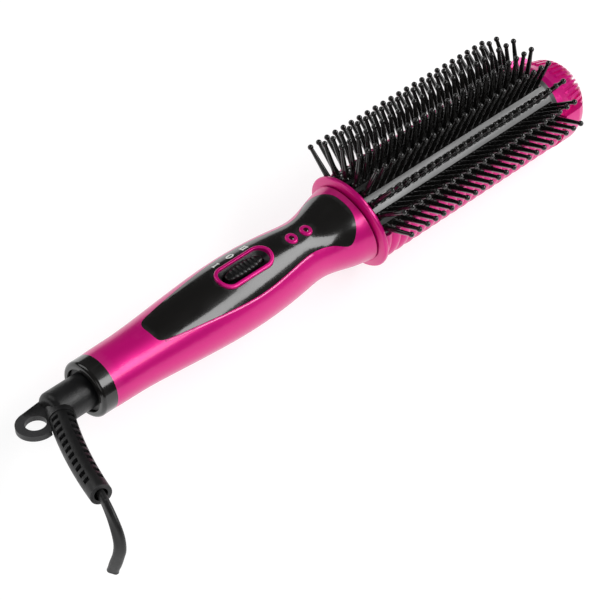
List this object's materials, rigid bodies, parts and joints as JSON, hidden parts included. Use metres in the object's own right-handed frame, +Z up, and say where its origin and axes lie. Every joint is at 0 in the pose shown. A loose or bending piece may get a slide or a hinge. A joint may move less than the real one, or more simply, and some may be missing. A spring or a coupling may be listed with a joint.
{
  "type": "heated hair styling brush",
  "caption": "Corded heated styling brush: waisted handle with slide switch, heated barrel with rows of ball-tipped bristles, ribbed back, finned tip cap and swivelling cord exit with an eye.",
  "frame": {"origin": "on the long axis of the handle and head, inside the collar disc that divides them", "axes": "+X along the brush towards the tip cap, +Z up through the inlay and the middle of the bristle rows, +Y to the left, away from the cord's rest side"},
  "size_m": [0.3653, 0.1088, 0.0649],
  "materials": {
    "magenta_gloss": "glossy magenta",
    "black_gloss": "glossy black",
    "black_satin": "satin black",
    "black_rubber": "satin rubber",
    "dark_lens": "clear",
    "led_body": "clear",
    "barrel_alloy": "satin",
    "alloy": "satin",
    "steel": "plain",
    "brass": "plain",
    "board_green": "solder resist",
    "component_grey": "matt",
    "ceramic": "matt ceramic",
    "film_amber": "clear amber film",
    "lead_sleeve": "silicone"
  },
  "bodies": {
    "root": {"back_shell": "magenta_gloss", "barrel": "barrel_alloy", "barrel_screws": "steel", "board_components": "component_grey", "board_screws": "steel", "bristle_row_1": "black_gloss", "bristle_row_2": "black_gloss", "bristle_row_3": "black_gloss", "bristle_row_4": "black_gloss", "bristle_row_5": "black_gloss", "bristle_row_6": "black_gloss", "bristle_row_7": "black_gloss", "bristle_row_8": "black_gloss", "circuit_board": "board_green", "contact_block": "black_satin", "contact_springs": "brass", "electrode_plates": "alloy", "front_collar": "magenta_gloss", "handle_lower_shell": "magenta_gloss", "handle_screws": "steel", "handle_upper_shell": "magenta_gloss", "heat_spreader_lower": "alloy", "heat_spreader_upper": "alloy", "heater_leads": "lead_sleeve", "indicator_leds": "led_body", "inlay_panel": "black_gloss", "insulating_films": "film_amber", "lamp_lenses": "dark_lens", "lamp_rings": "magenta_gloss", "mains_leads": "lead_sleeve", "ptc_elements": "ceramic", "rear_cap": "black_gloss", "root_bush": "black_satin", "slide_switch": "black_satin", "switch_bezel": "magenta_gloss", "thermal_fuse": "ceramic", "thermostat": "steel", "tip_bush": "black_satin", "tip_cap": "magenta_gloss", "tip_screw": "steel"},
    "switch": {"switch_slider": "black_satin", "switch_actuator": "black_gloss"},
    "swivel": {"swivel_housing": "black_satin", "swivel_retainer": "steel", "contact_sleeve": "brass", "contact_pin": "brass", "swivel_leads": "lead_sleeve", "strain_relief_boot": "black_rubber", "cord_jacket": "black_rubber", "cord_conductors": "brass"}
  },
  "joints": [
    {"name": "switch_slide", "type": "slide", "parent": "root", "child": "switch", "axis": [1, 0, 0], "range_m": [-0.0035, 0.0035]},
    {"name": "cord_swivel", "type": "hinge", "parent": "root", "child": "swivel", "pos_m": [-0.16, 0, 0], "axis": [1, 0, 0], "continuous": true}
  ]
}
